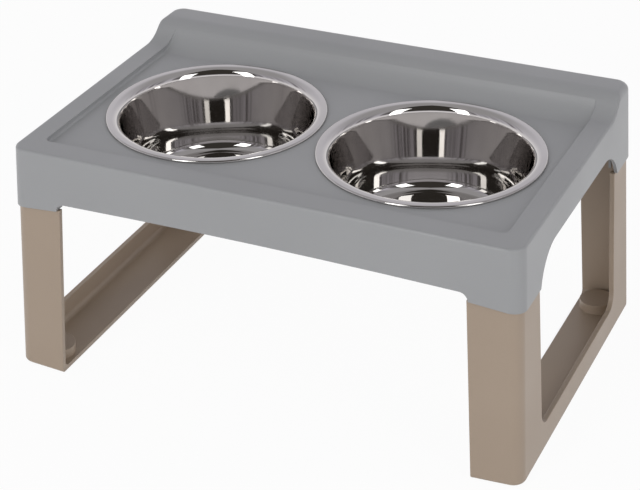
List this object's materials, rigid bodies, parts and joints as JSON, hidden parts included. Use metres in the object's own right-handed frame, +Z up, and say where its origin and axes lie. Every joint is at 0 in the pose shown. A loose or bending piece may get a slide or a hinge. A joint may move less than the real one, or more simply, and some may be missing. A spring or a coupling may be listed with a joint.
{
  "type": "raised pet feeder",
  "caption": "Raised feeding stand: a shallow tray with a swept-up back on splayed plug-in leg frames, holding round steel bowls that lift out.",
  "frame": {"origin": "on the floor under the middle of the tray, midway between the feet", "axes": "+Z up, +X to the right along the row of bowls, front toward -Y and the raised back toward +Y"},
  "size_m": [0.4824, 0.3132, 0.237],
  "materials": {
    "tray_plastic": "fine matte texture, light grey",
    "leg_plastic": "fine matte texture, taupe",
    "bowl_steel": "polished stainless sheet",
    "foot_rubber": "matte black rubber"
  },
  "bodies": {
    "tray": {"tray": "tray_plastic"},
    "left_leg": {"left_leg_frame": "leg_plastic", "front_left_foot": "foot_rubber", "rear_left_foot": "foot_rubber"},
    "right_leg": {"right_leg_frame": "leg_plastic", "front_right_foot": "foot_rubber", "rear_right_foot": "foot_rubber"},
    "left_bowl": {"left_bowl": "bowl_steel"},
    "right_bowl": {"right_bowl": "bowl_steel"}
  },
  "joints": [
    {"name": "left_bowl_lift", "type": "slide", "parent": "tray", "child": "left_bowl", "axis": [0, 0, 1], "range_m": [0, 0.1]},
    {"name": "right_bowl_lift", "type": "slide", "parent": "tray", "child": "right_bowl", "axis": [0, 0, 1], "range_m": [0, 0.1]},
    {"name": "left_leg_pull_off", "type": "slide", "parent": "tray", "child": "left_leg", "axis": [-0.0593, 0, -0.9982], "range_m": [0, 0.05]},
    {"name": "right_leg_pull_off", "type": "slide", "parent": "tray", "child": "right_leg", "axis": [0.0593, 0, -0.9982], "range_m": [0, 0.05]}
  ]
}
